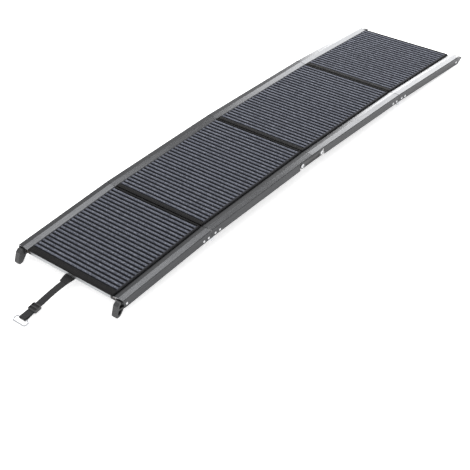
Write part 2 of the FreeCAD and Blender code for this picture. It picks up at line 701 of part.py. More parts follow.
def strap_plate():
    z_high = TAB_TOP - TAB_THICK
    half = TAB_ROOT_WIDTH / 2
    corners = [(PLATE_IN, -half, 2.0), (TAB_IN, -half, 2.0), (TAB_IN, half, 2.0), (PLATE_IN, half, 2.0)]
    solid = along_z(corners, z_high - PLATE_THICK, z_high)
    for y in (-STRAP_SCREW_Y, STRAP_SCREW_Y):
        hole = pin_z(STRAP_SCREW_X, y, z_high - 5, z_high + 5, STRAP_SCREW_RADIUS + RIVET_FIT)
        solid = solid.cut(hole)
    return solid


def strap_screw(y):
    face = TAB_TOP - TAB_THICK - PLATE_THICK
    shaft = pin_z(STRAP_SCREW_X, y, face, LEDGE_TOP + 5, STRAP_SCREW_RADIUS)
    head = pin_z(STRAP_SCREW_X, y, face - STRAP_SCREW_HEAD_THICK, face, STRAP_SCREW_HEAD)
    return fused([shaft, head])


def strap_heights(tab_height):
    """Route of the webbing's middle as (x, z), for a tab whose end is at this height."""
    tilt = math.radians(ADJUSTER_TILT)
    reach = RING_REACH + END_GAP
    last = (RING_X + reach * math.cos(tilt), STRAP_REST + reach * math.sin(tilt))
    drop = tab_height - last[1]
    return [(x, last[1] + part * drop) for x, part in STRAP_FALL] + [last]


def webbing(tab_height):
    """Flat band from the tab to the adjuster: straight runs joined by tangent arcs."""
    points = [vector(x, STRAP_Y, z) for x, z in strap_heights(tab_height)]
    edges = []
    length = 0.0
    last = points[0]
    for i in range(1, len(points) - 1):
        back = points[i - 1] - points[i]
        on = points[i + 1] - points[i]
        shorter = min(back.Length, on.Length)
        half_turn = (math.pi - back.getAngle(on)) / 2
        radius = 0.45 * shorter / math.tan(half_turn)
        print("webbing bend", i, "radius", round(radius, 1))
        back.normalize()
        on.normalize()
        start = points[i] + back * (0.45 * shorter)
        end = points[i] + on * (0.45 * shorter)
        middle_way = (back + on).normalize()
        middle = points[i] + middle_way * (radius / math.cos(half_turn) - radius)
        edges.append(Part.LineSegment(last, start).toShape())
        edges.append(Part.Arc(start, middle, end).toShape())
        length += (start - last).Length + radius * 2 * half_turn
        last = end
    edges.append(Part.LineSegment(last, points[-1]).toShape())
    length += (points[-1] - last).Length
    path = Part.Wire(edges)
    first = points[1] - points[0]
    first.normalize()
    up = vector(0, 1, 0).cross(first).normalize()
    across = vector(0, WEBBING_WIDTH / 2, 0)
    thick = up * (WEBBING_THICK / 2)
    corners = [points[0] + across + thick, points[0] - across + thick]
    corners += [points[0] - across - thick, points[0] + across - thick]
    section = Part.makePolygon(corners + [corners[0]])
    solid = path.makePipeShell([section], True, False)
    print("webbing length", round(length, 1))
    return solid


def raised(shape):
    """Turn the adjuster or the loop about the carabiner's near bar to the strap's slope."""
    shape.rotate(vector(RING_X, 0, STRAP_REST), vector(0, 1, 0), -ADJUSTER_TILT)
    return shape


def adjuster():
    z_low, z_high = STRAP_REST - ADJUSTER_THICK / 2, STRAP_REST + ADJUSTER_THICK / 2
    half = ADJUSTER_WIDTH / 2
    corners = [
        (ADJUSTER_LOW, STRAP_Y - half, ADJUSTER_CORNER),
        (ADJUSTER_HIGH, STRAP_Y - half, ADJUSTER_CORNER),
        (ADJUSTER_HIGH, STRAP_Y + half, ADJUSTER_CORNER),
        (ADJUSTER_LOW, STRAP_Y + half, ADJUSTER_CORNER),
    ]
    solid = along_z(corners, z_low, z_high)
    slot_width, slot_high = ADJUSTER_SLOT
    x_range = (ADJUSTER_LOW - 1, ADJUSTER_HIGH + 1)
    y_range = (STRAP_Y - slot_width / 2, STRAP_Y + slot_width / 2)
    z_range = (STRAP_REST - slot_high / 2, STRAP_REST + slot_high / 2)
    solid = solid.cut(box(x_range, y_range, z_range))
    # two windows in the top face leave a bar across the middle
    bar = ADJUSTER_FRAME / 2
    first = (ADJUSTER_LOW + ADJUSTER_FRAME, ADJUSTER_MIDDLE - bar)
    second = (ADJUSTER_MIDDLE + bar, ADJUSTER_HIGH - ADJUSTER_FRAME)
    for x_range in (first, second):
        solid = solid.cut(box(x_range, y_range, (STRAP_REST, z_high + 1)))
    return raised(solid)


def teardrop(radius, tail_half, tail_x):
    """Slab across the strap: a round of this radius about the near bar, drawn to a blunt tail."""
    centre_x, centre_z = RING_X, STRAP_REST
    lean = math.asin((radius - tail_half) / (tail_x - centre_x))
    x_top = centre_x + radius * math.sin(lean)
    rise = radius * math.cos(lean)
    top = vector(x_top, 0, centre_z + rise)
    bottom = vector(x_top, 0, centre_z - rise)
    tail_top = vector(tail_x, 0, centre_z + tail_half)
    tail_bottom = vector(tail_x, 0, centre_z - tail_half)
    curves = [
        Part.LineSegment(tail_top, top),
        Part.Arc(top, vector(centre_x - radius, 0, centre_z), bottom),
        Part.LineSegment(bottom, tail_bottom),
        Part.LineSegment(tail_bottom, tail_top),
    ]
    face = Part.Face(Part.Wire([curve.toShape() for curve in curves]))
    face.translate(vector(0, STRAP_Y - WEBBING_WIDTH / 2, 0))
    return face.extrude(vector(0, WEBBING_WIDTH, 0))


def strap_loop():
    """Two layers of webbing that wrap the carabiner's near bar."""
    inner = WIRE_RADIUS + LOOP_CLEAR
    outer = inner + WEBBING_THICK
    spread_x = ADJUSTER_LOW - LOOP_SPREAD
    y_range = (STRAP_Y - WEBBING_WIDTH / 2, STRAP_Y + WEBBING_WIDTH / 2)
    z_range = (STRAP_REST - LOOP_TAIL / 2, STRAP_REST + LOOP_TAIL / 2)
    layers = box((spread_x, ADJUSTER_MIDDLE), y_range, z_range)
    solid = fused([layers, teardrop(outer, LOOP_TAIL / 2, spread_x)])
    hollow = teardrop(inner, LOOP_TAIL / 2 - WEBBING_THICK, ADJUSTER_LOW - LOOP_SPLIT)
    return raised(solid.cut(hollow))


def ring_point(p, q):
    """Place in the carabiner: p away from the near bar, q along +Y, before the ring is tilted."""
    return vector(RING_X - p, RING_MIDDLE_Y + q, STRAP_REST)


def tilted(shape):
    turned = shape.copy()
    turned.rotate(vector(RING_X, 0, STRAP_REST), vector(0, 1, 0), -RING_TILT)
    return turned


def wire_rod(path_edges, start, direction):
    circle = Part.Wire(Part.Circle(start, direction, WIRE_RADIUS).toShape())
    return Part.Wire(path_edges).makePipeShell([circle], True, False)


def carabiner_frame():
    r = RING_CORNER
    far, half = RING_DEEP, RING_HALF
    k = r * (1 - math.sqrt(0.5))
    lug_end = GATE_HINGE - GATE_ROOT
    stops = [
        (ring_point(far, NOSE_END), None, ring_point(far, -half + r)),
        (ring_point(far, -half + r), ring_point(far - k, -half + k), ring_point(far - r, -half)),
        (ring_point(far - r, -half), None, ring_point(r, -half)),
        (ring_point(r, -half), ring_point(k, -half + k), ring_point(0, -half + r)),
        (ring_point(0, -half + r), None, ring_point(0, half - r)),
        (ring_point(0, half - r), ring_point(k, half - k), ring_point(r, half)),
        (ring_point(r, half), None, ring_point(far - r, half)),
        (ring_point(far - r, half), ring_point(far - k, half - k), ring_point(far, half - r)),
        (ring_point(far, half - r), None, ring_point(far, lug_end)),
    ]
    edges = []
    for start, middle, end in stops:
        curve = Part.Arc(start, middle, end) if middle else Part.LineSegment(start, end)
        edges.append(curve.toShape())
    rod = wire_rod(edges, ring_point(far, NOSE_END), vector(0, -1, 0))
    hinge = ring_point(far, GATE_HINGE)
    slot = box(
        (hinge.x - 2 * WIRE_RADIUS, hinge.x + 2 * WIRE_RADIUS),
        (RING_MIDDLE_Y + lug_end - 1, hinge.y + 1.6 * WIRE_RADIUS),
        (hinge.z - GATE_SLOT / 2, hinge.z + GATE_SLOT / 2),
    )
    bore = pin_z(hinge.x, hinge.y, hinge.z - 5, hinge.z + 5, GATE_PIN_RADIUS)
    return tilted(rod.cut(slot).cut(bore))


def carabiner_gate():
    hinge = ring_point(RING_DEEP, GATE_HINGE)
    tip = ring_point(RING_DEEP, GATE_TIP)
    shoulder = ring_point(RING_DEEP, GATE_HINGE - GATE_SHOULDER)
    rod = Part.makeCylinder(WIRE_RADIUS, shoulder.y - tip.y, tip, vector(0, 1, 0))
    z_low, z_high = hinge.z - GATE_TONGUE / 2, hinge.z + GATE_TONGUE / 2
    eye = pin_z(hinge.x, hinge.y, z_low, z_high, WIRE_RADIUS)
    x_range = (hinge.x - WIRE_RADIUS, hinge.x + WIRE_RADIUS)
    tongue = box(x_range, (shoulder.y - WIRE_RADIUS, hinge.y), (z_low, z_high))
    solid = fused([rod, eye, tongue])
    bore = pin_z(hinge.x, hinge.y, z_low - 5, z_high + 5, GATE_PIN_RADIUS + RIVET_FIT)
    return tilted(solid.cut(bore))


def gate_pin():
    hinge = ring_point(RING_DEEP, GATE_HINGE)
    half = WIRE_RADIUS - GATE_PIN_SHORT
    return tilted(pin_z(hinge.x, hinge.y, hinge.z - half, hinge.z + half, GATE_PIN_RADIUS))


# ---- where each section stands -------------------------------------------------------------
def turned_point(point, slope):
    c, s = math.cos(math.radians(slope)), math.sin(math.radians(slope))
    return (point[0] * c - point[1] * s, point[0] * s + point[1] * c)


def origin_from(anchor, local, slope):
    """Origin of a frame of this slope whose local point falls on the anchor."""
    x, z = turned_point(local, slope)
    return (anchor[0] - x, anchor[1] - z)


def place_of(origin, local, slope):
    x, z = turned_point(local, slope)
    return (origin[0] + x, origin[1] + z)


def chain(tilt):
    """Slope and origin of the bridge and the four sections, with the bridge at (0, 0)."""
    slopes = {
        "bridge": tilt,
        "1": tilt + MIDDLE_BEND / 2 + FRONT_BEND,
        "2": tilt + MIDDLE_BEND / 2,
        "3": tilt - MIDDLE_BEND / 2,
        "4": tilt - MIDDLE_BEND / 2 - REAR_BEND,
    }
    origins = {"bridge": (0.0, 0.0)}
    left = turned_point((-BRIDGE_HALF, -BRIDGE_DROP), tilt)
    right = turned_point((BRIDGE_HALF, -BRIDGE_DROP), tilt)
    origins["2"] = origin_from(left, (INNER_LENGTH - BRIDGE_HALF, -BRIDGE_DROP), slopes["2"])
    origins["3"] = origin_from(right, (BRIDGE_HALF, -BRIDGE_DROP), slopes["3"])
    front = place_of(origins["2"], (0, FOLD_Z), slopes["2"])
    rear = place_of(origins["3"], (INNER_LENGTH, FOLD_Z), slopes["3"])
    origins["1"] = origin_from(front, (OUTER_LENGTH, FOLD_Z), slopes["1"])
    origins["4"] = origin_from(rear, (0, FOLD_Z), slopes["4"])
    hook = place_of(origins["1"], HOOK_CONTACT, slopes["1"])
    wedge = place_of(origins["4"], (OUTER_LENGTH + WEDGE_CONTACT[0], WEDGE_CONTACT[1]), slopes["4"])
    joints = {"front_fold": front, "rear_fold": rear, "front_bridge": left, "rear_bridge": right}
    return slopes, origins, hook, wedge, joints


def level_tilt():
    """Tilt that puts the contact points of the hook and wedge feet at one height."""
    slopes, origins, hook, wedge, joints = chain(0.0)
    return -math.degrees(math.atan2(wedge[1] - hook[1], wedge[0] - hook[0]))


SLOPES, ORIGINS, HOOK_POINT, WEDGE_POINT, JOINTS = chain(level_tilt())


def stood(shape, name):
    """Turn and move a shape from a section's own frame into the ramp's frame, before centring."""
    x, z = ORIGINS[name]
    turn = FreeCAD.Rotation(vector(0, 1, 0), -SLOPES[name])
    move = FreeCAD.Placement(vector(x, 0, z - HOOK_POINT[1]), turn)
    placed = shape.copy()
    placed.Placement = move.multiply(placed.Placement)
    return placed


def cut_at_floor(shape):
    """Give a foot the small flat that it stands on."""
    wide = 2 * (OUTER_LENGTH + INNER_LENGTH)
    return shape.cut(box((-wide, wide), (-wide, wide), (-2 * RAIL_DEPTH, 0.0)))


def centring():
    """Shift along X that puts the middle of the ramp, without its strap, over the origin."""
    hook = cut_at_floor(stood(hook_foot(), "1"))
    wedge = cut_at_floor(stood(wedge_foot(OUTER_LENGTH), "4"))
    low = hook.optimalBoundingBox(False, False).XMin
    high = wedge.optimalBoundingBox(False, False).XMax
    return -(low + high) / 2


def tab_end():
    """Middle of the tab's end face as (x, z) before centring."""
    return place_of(ORIGINS["1"], (-TAB_OUT, TAB_TOP - TAB_FALL - TAB_THICK / 2), SLOPES["1"])


# ---- build ---------------------------------------------------------------------------------
def section_parts(number):
    """All parts of one section that every section has, as name: shape in the section's frame."""
    outer = number in (1, 4)
    length = OUTER_LENGTH if outer else INNER_LENGTH
    low_side = number in (1, 2)
    fold_x = {1: length, 2: 0.0, 3: length, 4: 0.0}[number]
    towards = -1 if fold_x > 0 else 1
    free_x = {1: 0.0, 4: length}.get(number)
    seam_x = {2: length, 3: 0.0}.get(number)
    leaf_places = leaf_rivet_places(fold_x, towards)
    wall_rivets = []
    for d, place in zip(LEAF_RIVETS, leaf_places):
        thick_here = not outer and d < CRANK_END
        wall_rivets.append((place[0], place[1], CRANK_INNER if thick_here else LEAF_INNER))
    if not outer:
        far = wall_rivets[-1]
        wall_rivets[-1] = (far[0], far[1], CRANK_OUTER)
    lug_places = []
    if outer:
        foot_x = FOOT_RIVET_IN if number == 1 else length - FOOT_RIVET_IN
        wall_rivets.append((foot_x, FOOT_RIVET_HEIGHT, FOOT_RIVET_SEAT))
    else:
        pivot_x = length - BRIDGE_HALF if low_side else BRIDGE_HALF
        lug_way = -1 if low_side else 1
        lug_places = lug_rivet_places(pivot_x, lug_way)
    left_rail = rail(
        length,
        [fold_x],
        [] if outer else [seam_x],
        [(x, z) for x, z, tail in wall_rivets],
        lug_places,
    )
    left_leaf = flat_leaf(fold_x, towards) if outer else cranked_leaf(fold_x, towards)
    rivets = [wall_rivet(x, z, tail) for x, z, tail in wall_rivets]
    rivets += [lug_rivet(x, z) for x, z in lug_places]

    x_low, x_high = BOARD_END_GAP, length - BOARD_END_GAP
    strip_low, strip_high = START_STRIP, END_STRIP
    z_low, z_high = BOARD_TOP, BOARD_TOP
    if number == 1:
        x_low = END_GAP + PROFILE_WALL
        strip_low = FRONT_STRIP
        z_low = BOARD_TOP + PROFILE_WALL
    if number == 4:
        x_high = length - END_GAP - PROFILE_WALL
        z_high = BOARD_TOP + PROFILE_WALL
    first = END_GAP if number == 1 else BOARD_END_GAP
    last = length - (END_GAP if number == 4 else BOARD_END_GAP)
    strips = [edge_strip(first, first + strip_low, z_low)]
    strips += [edge_strip(last - strip_high, last, z_high)]
    holes = []
    if number == 1:
        radius = STRAP_SCREW_RADIUS + RIVET_FIT
        holes = [(STRAP_SCREW_X, y, radius) for y in (-STRAP_SCREW_Y, STRAP_SCREW_Y)]
    parts = {
        f"rail_left_{number}": [left_rail],
        f"rail_right_{number}": [mirrored(left_rail)],
        f"board_{number}": [board(x_low, x_high, holes)],
        f"tread_{number}": [tread(first + strip_low + TREAD_GAP, last - strip_high - TREAD_GAP)],
        f"edge_strips_{number}": strips,
        f"hinge_leaf_left_{number}": [left_leaf],
        f"hinge_leaf_right_{number}": [mirrored(left_leaf)],
        f"rivets_{number}": rivets + [mirrored(r) for r in rivets],
    }
    if not outer:
        left_lug = lug(pivot_x, lug_way)
        parts[f"bridge_lug_left_{number}"] = [left_lug]
        parts[f"bridge_lug_right_{number}"] = [mirrored(left_lug)]
    if free_x is not None:
        inward = 1 if number == 1 else -1
        face = free_x + inward * END_GAP
        name = "front_edge_profile" if number == 1 else "rear_edge_profile"
        parts[name] = [edge_profile(face, inward, strip_low if number == 1 else strip_high)]
        pivot = fold_pivot(fold_x)
        name = "front_fold_pivots" if number == 1 else "rear_fold_pivots"
        parts[name] = [pivot, mirrored(pivot)]
    return parts


def bridge_parts():
    block = bridge_block()
    bolts = [bridge_bolt(x) for x in (-BRIDGE_HALF, BRIDGE_HALF)]
    places = [(x, y) for x in (-HANDLE_SCREW_X, HANDLE_SCREW_X) for y in (-HANDLE_SCREW_Y, HANDLE_SCREW_Y)]
    return {
        "bridge_block_left": [block],
        "bridge_block_right": [mirrored(block)],
        "bridge_bolts": bolts + [mirrored(b) for b in bolts],
        "handle_tube": [handle_tube()],
        "handle_grip": [handle_grip()],
        "handle_screws": [handle_screw(x, y) for x, y in places],
    }


def all_parts():
    """Every node of the ramp as a list of solids in the ramp's own frame."""
    shift = centring()
    found = {}

    def add(name, shapes, x=0.0):
        for shape in shapes:
            shape.translate(vector(shift + x, 0, 0))
        found[name] = shapes

    for number in (1, 2, 3, 4):
        for name, shapes in section_parts(number).items():
            add(name, [stood(shape, str(number)) for shape in shapes])
    for name, shapes in bridge_parts().items():
        add(name, [stood(shape, "bridge") for shape in shapes])
    hook = cut_at_floor(stood(hook_foot(), "1"))
    wedge = cut_at_floor(stood(wedge_foot(OUTER_LENGTH), "4"))
    for name, foot in (("hook", hook), ("wedge", wedge)):
        right = mirrored(foot)
        add(f"{name}_foot_left", [foot])
        add(f"{name}_foot_right", [right])
    add("strap_tab", [stood(strap_tab(), "1")])
    add("strap_plate", [stood(strap_plate(), "1")])
    add("strap_screws", [stood(strap_screw(y), "1") for y in (-STRAP_SCREW_Y, STRAP_SCREW_Y)])
    strap_x, tab_z = tab_end()
    strap_parts = {
        "strap_webbing": webbing(tab_z - HOOK_POINT[1]),
        "slide_adjuster": adjuster(),
        "strap_loop": strap_loop(),
        "carabiner_frame": carabiner_frame(),
        "carabiner_gate": carabiner_gate(),
        "carabiner_gate_pin": gate_pin(),
    }
    for name, shape in strap_parts.items():
        add(name, [shape], strap_x)
    return found


def main():
    os.makedirs("parts", exist_ok=True)
    parts = all_parts()
    for name, shapes in parts.items():
        shape = shapes[0] if len(shapes) == 1 else Part.makeCompound(shapes)
        shape.exportStep(f"parts/{name}.step")
    print(len(parts), "nodes")


main()
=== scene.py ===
import bpy
import math
import numpy as np
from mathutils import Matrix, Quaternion, Vector


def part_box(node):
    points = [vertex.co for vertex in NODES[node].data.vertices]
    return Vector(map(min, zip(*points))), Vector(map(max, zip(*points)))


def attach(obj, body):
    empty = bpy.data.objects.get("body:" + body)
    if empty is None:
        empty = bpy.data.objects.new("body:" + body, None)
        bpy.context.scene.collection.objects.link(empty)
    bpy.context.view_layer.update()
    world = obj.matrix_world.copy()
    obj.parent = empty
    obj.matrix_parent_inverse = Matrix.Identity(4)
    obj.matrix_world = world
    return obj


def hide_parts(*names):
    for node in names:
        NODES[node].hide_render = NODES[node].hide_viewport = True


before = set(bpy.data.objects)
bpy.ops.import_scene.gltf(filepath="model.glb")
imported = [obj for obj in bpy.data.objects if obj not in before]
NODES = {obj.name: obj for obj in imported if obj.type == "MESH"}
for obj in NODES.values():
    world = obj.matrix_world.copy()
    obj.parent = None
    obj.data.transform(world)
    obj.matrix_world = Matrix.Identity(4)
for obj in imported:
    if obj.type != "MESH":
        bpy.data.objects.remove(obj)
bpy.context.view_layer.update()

# ---- camera --------------------------------------------------------------------------------
CAMERA_PLACE = (-2.2356, -2.0900, 1.9685)
CAMERA_TURN = 44.957        # heading from +Y towards +X, degrees
CAMERA_DROP = 36.753        # looks down by this much, degrees
CAMERA_ROLL = 6.25          # turned about its own line of sight, degrees
CAMERA_LENS = 87.96
SENSOR_WIDTH = 36.0

# ---- studio --------------------------------------------------------------------------------
# name, place, target, size and power of each soft light
LIGHTS = [
    # low panel beyond the ground end, which the last sections mirror
    ("end panel", (1.96, 0.74, 0.84), (0.63, 0.0, 0.05), (1.1, 1.3), 36.0),
    # soft box overhead
    ("top box", (0.9, 1.1, 3.0), (-0.3, 0.0, 0.0), (1.6, 1.2), 34.0),
]
WORLD_STRENGTH = 1.05
FLOOR_REACH = 30.0
FLOOR_HEIGHT = -0.0004
FLOOR_GLOW = 0.62

# ---- strap, in metres ----------------------------------------------------------------------
STRAP_Y = -0.003
STRAP_ROUTE = [             # x and height along the middle of the tape
    (-0.8297, 0.0249),
    (-0.8455, 0.0241),
    (-0.8655, 0.0223),
    (-0.8895, 0.0192),
    (-0.9145, 0.0150),
    (-0.9387, 0.0114),
    (-0.9620, 0.0079),
    (-0.9840, 0.0046),
]
STRAP_WIDTH = 0.025
STRAP_THICK = 0.0017
RING_AXIS = (-0.9820, 0.0049)
STRAP_TILT = 8.5            # the adjuster rises towards the ramp by this much, degrees
LOOP_RADIUS = 0.0033        # middle of the layer that wraps the ring
LAYER_RISE = 0.0014         # each layer's middle above or below the line in the adjuster
ADJUSTER_NEAR = 0.0568      # its two ends and its middle, from the ring's axis
ADJUSTER_FAR = 0.0308
ADJUSTER_MIDDLE = 0.0438
WEAVE_PITCH = 0.0014
WEAVE_DEPTH = 0.00012
TAPE_COLUMNS = 28           # mesh columns across the tape
TAPE_EDGE = 0.75            # how much of a full round the tape's edges have
TAPE_LEAD = 0.008           # the tape starts this far inside the tab
CLIMB_START = 0.006         # before the adjuster the tape leaves its line and climbs,
CLIMB_LENGTH = 0.014        # over this length
CLIMB_GAP = 0.002           # the line's own points end this far before the climb
LOOP_START = 0.003          # past the adjuster the loop round the ring begins
TAPE_END_GAP = 0.001        # the tape ends this far from the adjuster's middle

# ---- tab under the board, x and height from the free edge of the board and the deck plane --
TAB_IN = 0.022              # under the board
TAB_OUT = 0.026             # beyond it
TAB_ROOT = 0.0376           # width at the board and at the tip
TAB_TIP = 0.0298
TAB_MIDDLE = -0.0149        # height of its middle under the board
TAB_FALL = 0.0016           # the tip hangs lower by this much
TAB_BEND = [                # x, and how far the tab has fallen there
    (TAB_IN, 0.0),
    (0.004, 0.0),
    (-0.002, 0.0001),
    (-0.010, 0.0006),
    (-TAB_OUT + 0.0001, TAB_FALL),
]
TAB_LAYER = 0.0018          # thickness of one layer
TAB_LAYER_RISE = 0.00098    # each layer's middle above or below the middle of the tab
TAB_COLUMNS = 36
TREAD_FIRST = 0.0207        # the first tread starts this far from the free end
TREAD_BOTTOM = -0.0025

# ---- stitches in the tab -------------------------------------------------------------------
STITCH_SIZE = (0.0027, 0.0006)      # length and thickness
STITCH_AROUND, STITCH_RINGS = 6, 5
STITCH_RISE = 0.0019        # above the middle of the tab
SIDE_STITCHES = 7           # in each of two rows along the tab
SIDE_START, SIDE_PITCH = -0.0035, 0.0031
SIDE_Y, SIDE_TAPER = 0.0170, 0.0033
SIDE_FALL_STEPS = 7.6       # the rows have fallen as far as the tip after so many stitches
END_STITCHES = 9            # in the row across the tip
END_X, END_Y, END_PITCH = -0.0235, -0.0128, 0.0032
END_FALL = 0.92             # part of the tab's fall that this row has

# ---- tread ---------------------------------------------------------------------------------
RIB_PITCH = 0.0143
RIB_DEPTH = 0.0034
RIB_FILL = 0.68             # part of a pitch that the rib takes
RIB_STEPS = 14              # mesh steps along one pitch
RIB_FULLNESS = 0.8          # power that flattens the ribs' tops
PILE_STEP = 0.0032          # mesh step across the deck
PILE_ROUGH = 0.00028
TUFT_LIMIT = 1.5            # in deviations, so that no tuft stands far out
TUFT_SHARE = 0.6
SIDE_ROUND = 0.0036
EDGE_STEPS = (0.0, 0.00025, 0.0007, 0.0013, 0.0021, 0.0032, 0.0048)
BORDER = 0.0060             # the ribs run out over this width near the sides
BORDER_START = 0.0030       # this far from the sides
SEED = 7

# ---- bindings across the ends of the treads ------------------------------------------------
STRIP_GAP = 0.0004          # from the tread
STRIP_END_GAP = 0.0003      # from the far side of the strip's place
STRIP_SUNK = 0.0006         # below the tread's top
STRIP_STEP = 0.0011
STRIP_CROSS_STEP = 0.0040
STRIP_ROUND = 0.0018
STRIP_LEAST = 0.0016        # height that the rounded edges keep
SEAM_IN = 0.0030
SEAM_WIDTH = 0.0006
SEAM_DEPTH = 0.0005
RIPPLE = 0.00012
RIPPLE_LIMIT = 0.0002

# ---- handle grip ---------------------------------------------------------------------------
GRIP_ROUND = 0.0030
GRIP_GAP = (0.0003, 0.0004)         # inside the CAD grip across and through
GRIP_END_GAP = 0.0002
GRIP_BORE = 0.0051          # half the thickness of the hole for the tube
GRIP_SWELL = 0.00025        # uneven swelling of the foam, from two waves along it
GRIP_WAVES = (420.0, 171.0)         # radians per metre
GRIP_ROUND_STEPS = 6
GRIP_LENGTH_STEPS = 30      # in each half of its length
GRIP_AROUND = 64



# ---- node material helpers -----------------------------------------------------------------
class Shader:
    """A new material with a Principled shader and short ways to add nodes."""

    def __init__(self, name):
        self.material = bpy.data.materials.new(name)
        self.material.use_nodes = True
        self.tree = self.material.node_tree
        self.surface = self.tree.nodes["Principled BSDF"]
        self.place = self.add("ShaderNodeTexCoord").outputs["Object"]

    def add(self, kind, **values):
        node = self.tree.nodes.new(kind)
        for key, value in values.items():
            setattr(node, key, value)
        return node

    def link(self, source, target):
        self.tree.links.new(source, target)

    def set(self, **values):
        for key, value in values.items():
            self.surface.inputs[key.replace("_", " ")].default_value = value
        return self

    def stretched(self, scale):
        node = self.add("ShaderNodeMapping")
        node.inputs["Scale"].default_value = scale
        self.link(self.place, node.inputs["Vector"])
        return node.outputs["Vector"]

    def noise(self, scale, detail=3.0, stretch=(1, 1, 1), rough=0.55):
        node = self.add("ShaderNodeTexNoise")
        node.inputs["Scale"].default_value = scale
        node.inputs["Detail"].default_value = detail
        node.inputs["Roughness"].default_value = rough
        self.link(self.stretched(stretch), node.inputs["Vector"])
        return node.outputs["Fac"]

    def wave(self, scale, axis):
        node = self.add("ShaderNodeTexWave", wave_type="BANDS", bands_direction=axis)
        node.inputs["Scale"].default_value = scale
        self.link(self.place, node.inputs["Vector"])
        return node.outputs["Fac"]

    def ramp(self, value, stops):
        node = self.add("ShaderNodeValToRGB")
        elements = node.color_ramp.elements
        while len(elements) < len(stops):
            elements.new(0.5)
        for element, (position, colour) in zip(elements, stops):
            element.position = position
            element.color = (*(colour if isinstance(colour, tuple) else (colour,) * 3), 1.0)
        self.link(value, node.inputs["Fac"])
        return node.outputs["Color"]

    def math(self, operation, a, b):
        node = self.add("ShaderNodeMath", operation=operation)
        for socket, value in zip(node.inputs, (a, b)):
            if isinstance(value, (int, float)):
                socket.default_value = value
            else:
                self.link(value, socket)
        return node.outputs["Value"]

    def mix(self, factor, a, b):
        node = self.add("ShaderNodeMix", data_type="RGBA", blend_type="MIX")
        for socket, value in ((node.inputs[0], factor), (node.inputs[6], a), (node.inputs[7], b)):
            if isinstance(value, tuple):
                socket.default_value = (*value, 1.0)
            elif isinstance(value, (int, float)):
                socket.default_value = value
            else:
                self.link(value, socket)
        return node.outputs[2]

    def attribute(self, name):
        return self.add("ShaderNodeAttribute", attribute_name=name).outputs["Fac"]

    def normal_part(self, axis):
        """How much of the surface's normal lies along an axis of the piece, from 0 to 1."""
        coords = self.add("ShaderNodeTexCoord").outputs["Normal"]
        parts = self.add("ShaderNodeSeparateXYZ")
        self.link(coords, parts.inputs[0])
        return self.math("ABSOLUTE", parts.outputs[axis], 0.0)

    def colour(self, source):
        self.link(source, self.surface.inputs["Base Color"])
        return self

    def roughness(self, source, low, high):
        node = self.add("ShaderNodeMapRange")
        node.inputs["To Min"].default_value = low
        node.inputs["To Max"].default_value = high
        self.link(source, node.inputs["Value"])
        self.link(node.outputs["Result"], self.surface.inputs["Roughness"])
        return self

    def bump(self, height, distance, strength=1.0):
        node = self.add("ShaderNodeBump")
        node.inputs["Distance"].default_value = distance
        node.inputs["Strength"].default_value = strength
        self.link(height, node.inputs["Height"])
        self.link(node.outputs["Normal"], self.surface.inputs["Normal"])
        return self


# ---- materials -----------------------------------------------------------------------------
def rail_material():
    """Dark satin coating on extruded aluminium, bare and bright on the sawn ends."""
    s = Shader("rail_coating")
    streaks = s.noise(900.0, detail=2.0, stretch=(0.02, 1, 1))
    patches = s.noise(14.0, detail=3.0)
    coat = s.ramp(streaks, [(0.3, (0.050, 0.051, 0.053)), (0.7, (0.072, 0.073, 0.076))])
    coat = s.mix(s.math("MULTIPLY", patches, 0.35), coat, (0.042, 0.043, 0.046))
    ends = s.ramp(s.normal_part("X"), [(0.90, 0.0), (0.97, 1.0)])
    saw = s.noise(700.0, detail=2.0, stretch=(1, 1, 0.1))
    bare = s.ramp(saw, [(0.3, (0.26, 0.26, 0.27)), (0.7, (0.42, 0.42, 0.43))])
    s.colour(s.mix(ends, coat, bare))
    s.roughness(s.noise(240.0, detail=3.0, stretch=(0.1, 1, 1)), 0.22, 0.32)
    s.bump(s.noise(1500.0, detail=2.0, stretch=(0.05, 1, 1)), 0.00004)
    return s.set(Metallic=0.95).material


def board_material():
    """Black film on plywood, with a fine pressed mesh and dark sealed edges."""
    s = Shader("board_film")
    cloud = s.noise(160.0, detail=4.0)
    film = s.ramp(cloud, [(0.3, (0.020, 0.018, 0.017)), (0.7, (0.034, 0.031, 0.029))])
    plies = s.ramp(s.wave(170.0, "Z"), [(0.3, (0.022, 0.018, 0.015)), (0.7, (0.045, 0.036, 0.029))])
    faces = s.ramp(s.normal_part("Z"), [(0.7, 0.0), (0.9, 1.0)])
    s.colour(s.mix(faces, plies, film))
    mesh = s.math("MAXIMUM", s.wave(260.0, "X"), s.wave(260.0, "Y"))
    s.roughness(s.noise(60.0), 0.45, 0.62)
    return s.bump(mesh, 0.00008).material


